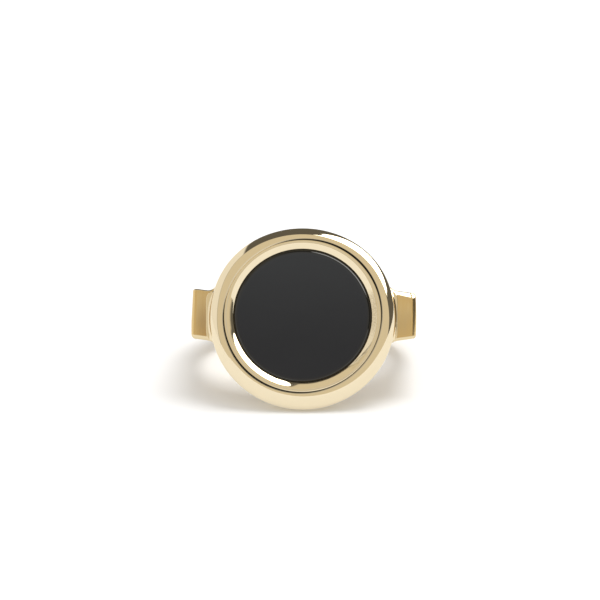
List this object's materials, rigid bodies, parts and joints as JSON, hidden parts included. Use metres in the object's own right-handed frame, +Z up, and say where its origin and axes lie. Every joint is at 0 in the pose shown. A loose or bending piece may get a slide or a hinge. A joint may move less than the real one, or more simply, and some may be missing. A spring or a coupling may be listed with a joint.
{
  "type": "signet ring",
  "caption": "Finger ring with a round flat black stone in a polished gold-coloured collar and bezel, on a tapered shank with squared shoulders.",
  "frame": {"origin": "on the table, under the middle of the ring's bounding box, with the ring lying at rest on the lower edge of its head and the rear edge of its shank", "axes": "+Z up from the table, +X from the left shoulder to the right shoulder seen from the front, +Y from the stone's face towards the back of the shank; the face looks along -Y and upwards"},
  "size_m": [0.0208, 0.0244, 0.0159],
  "materials": {
    "polished_gold": "mirror-polished pale yellow gold plating",
    "satin_gold": "softly polished yellow gold plating with fine lengthwise marks",
    "onyx": "polished black onyx",
    "cement": "cured setting cement",
    "solder": "polished gold solder"
  },
  "bodies": {
    "root": {"shank": "satin_gold", "head_frame": "polished_gold", "back_plate": "satin_gold", "bezel": "polished_gold", "stone_seat": "satin_gold", "setting_cement": "cement", "onyx_stone": "onyx", "shoulder_solder_left": "solder", "shoulder_solder_right": "solder"}
  },
  "joints": []
}
